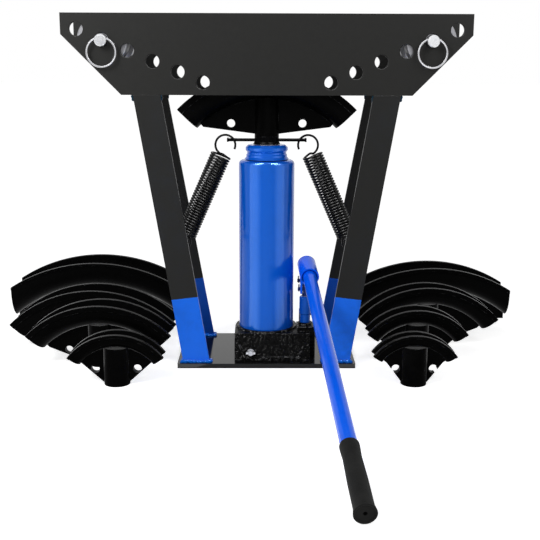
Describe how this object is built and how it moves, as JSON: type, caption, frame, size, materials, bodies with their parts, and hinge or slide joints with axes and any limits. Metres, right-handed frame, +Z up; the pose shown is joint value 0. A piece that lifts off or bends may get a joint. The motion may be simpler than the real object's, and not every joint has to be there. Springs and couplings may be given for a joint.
{
  "type": "hydraulic pipe bender",
  "caption": "Floor-standing hydraulic pipe bender: an A-shaped plate frame with a bottle jack, return springs, two grooved rollers on pull pins, a pump handle and loose bending dies.",
  "frame": {"origin": "middle of the underside of the base plate", "axes": "+X to the right, +Y away from the person who pumps the handle, +Z up"},
  "size_m": [1.079, 0.982, 0.659],
  "materials": {
    "black_paint": "satin",
    "black_gloss_paint": "gloss",
    "blue_paint": "gloss",
    "black_cast": "rough gloss enamel",
    "zinc_steel": "bright zinc plate",
    "bright_ring": "polished",
    "machined_steel": "machined",
    "dark_steel": "dark",
    "spring_steel": "gloss",
    "seal_rubber": "matt",
    "grip_foam": "foam, matt"
  },
  "bodies": {
    "frame": {"base_plate": "black_gloss_paint", "front_beam_plate": "black_paint", "rear_beam_plate": "black_paint", "leg_front_left": "black_paint", "leg_front_right": "black_paint", "leg_rear_left": "black_paint", "leg_rear_right": "black_paint", "weld_beads": "blue_paint", "spring_anchor_left": "black_paint", "spring_anchor_right": "black_paint", "jack_base": "black_cast", "reservoir_tube": "blue_paint", "pressure_cylinder": "machined_steel", "reservoir_gaskets": "seal_rubber", "oil_filler_plug": "seal_rubber", "tank_nut": "blue_paint", "ram_wiper": "seal_rubber", "check_balls": "machined_steel", "duct_plug": "machined_steel", "jack_bolts": "zinc_steel", "pump_cylinder": "blue_paint", "pump_link": "blue_paint", "link_pin": "zinc_steel", "fulcrum_pin": "zinc_steel", "link_clips": "dark_steel", "return_spring_left": "spring_steel", "return_spring_right": "spring_steel", "loose_die_3_in": "black_cast", "loose_die_2_in": "black_cast", "loose_die_1_and_half_in": "black_cast", "loose_die_3_quarter_in": "black_cast", "loose_die_2_and_half_in": "black_cast", "loose_die_1_and_quarter_in": "black_cast", "loose_die_1_in": "black_cast", "loose_die_half_in": "black_cast"},
    "roller_left": {"roller_left": "black_cast"},
    "roller_right": {"roller_right": "black_cast"},
    "pin_left": {"roller_pin_left": "zinc_steel"},
    "pin_right": {"roller_pin_right": "zinc_steel"},
    "ring_left": {"pull_ring_left": "bright_ring"},
    "ring_right": {"pull_ring_right": "bright_ring"},
    "ram": {"ram": "machined_steel", "piston_seal": "seal_rubber", "spring_collar": "black_cast", "spring_arm_left": "black_paint", "spring_arm_right": "black_paint"},
    "die": {"bending_die": "black_cast"},
    "handle": {"handle_socket": "blue_paint", "handle_tube": "blue_paint", "handle_grip": "grip_foam"},
    "plunger": {"pump_plunger": "machined_steel", "plunger_seal": "seal_rubber", "plunger_pin": "zinc_steel", "plunger_clip": "dark_steel"},
    "release_valve": {"release_valve": "zinc_steel"}
  },
  "joints": [
    {"name": "roller_left_spin", "type": "hinge", "parent": "frame", "child": "roller_left", "pos_m": [-0.30077, 0, 0.61036], "axis": [0, 1, 0], "continuous": true},
    {"name": "pin_left_pull", "type": "slide", "parent": "frame", "child": "pin_left", "axis": [0, -1, 0], "range_m": [0, 0.165]},
    {"name": "ring_left_swing", "type": "hinge", "parent": "pin_left", "child": "ring_left", "pos_m": [-0.30077, -0.075, 0.61426], "axis": [-1, 0, 0], "range_deg": [-4, 150]},
    {"name": "roller_right_spin", "type": "hinge", "parent": "frame", "child": "roller_right", "pos_m": [0.30077, 0, 0.61036], "axis": [0, 1, 0], "continuous": true},
    {"name": "pin_right_pull", "type": "slide", "parent": "frame", "child": "pin_right", "axis": [0, -1, 0], "range_m": [0, 0.165]},
    {"name": "ring_right_swing", "type": "hinge", "parent": "pin_right", "child": "ring_right", "pos_m": [0.30077, -0.075, 0.61426], "axis": [-1, 0, 0], "range_deg": [-4, 150]},
    {"name": "ram_lift", "type": "slide", "parent": "frame", "child": "ram", "axis": [0, 0, 1], "range_m": [0, 0.24], "stiffness_N_per_m": 3000, "springref_m": -0.02, "deforming": ["return_spring_left", "return_spring_right"]},
    {"name": "die_lift_off", "type": "slide", "parent": "ram", "child": "die", "axis": [0, 0, 1], "range_m": [0, 0.06]},
    {"name": "handle_swing", "type": "hinge", "parent": "frame", "child": "handle", "pos_m": [0.0768, 0.008, 0.147], "axis": [-1, 0, 0], "range_deg": [0, 50]},
    {"name": "plunger_stroke", "type": "slide", "parent": "frame", "child": "plunger", "axis": [0, 0, 1], "range_m": [0, 0.026]},
    {"name": "release_valve_turn", "type": "hinge", "parent": "frame", "child": "release_valve", "pos_m": [-0.0305, -0.0815, 0.025], "axis": [0, 1, 0], "range_deg": [0, 450]}
  ],
  "couplings": [
    {"joint": "plunger_stroke", "follows": "handle_swing", "m_per_rad": 0.0296}
  ]
}
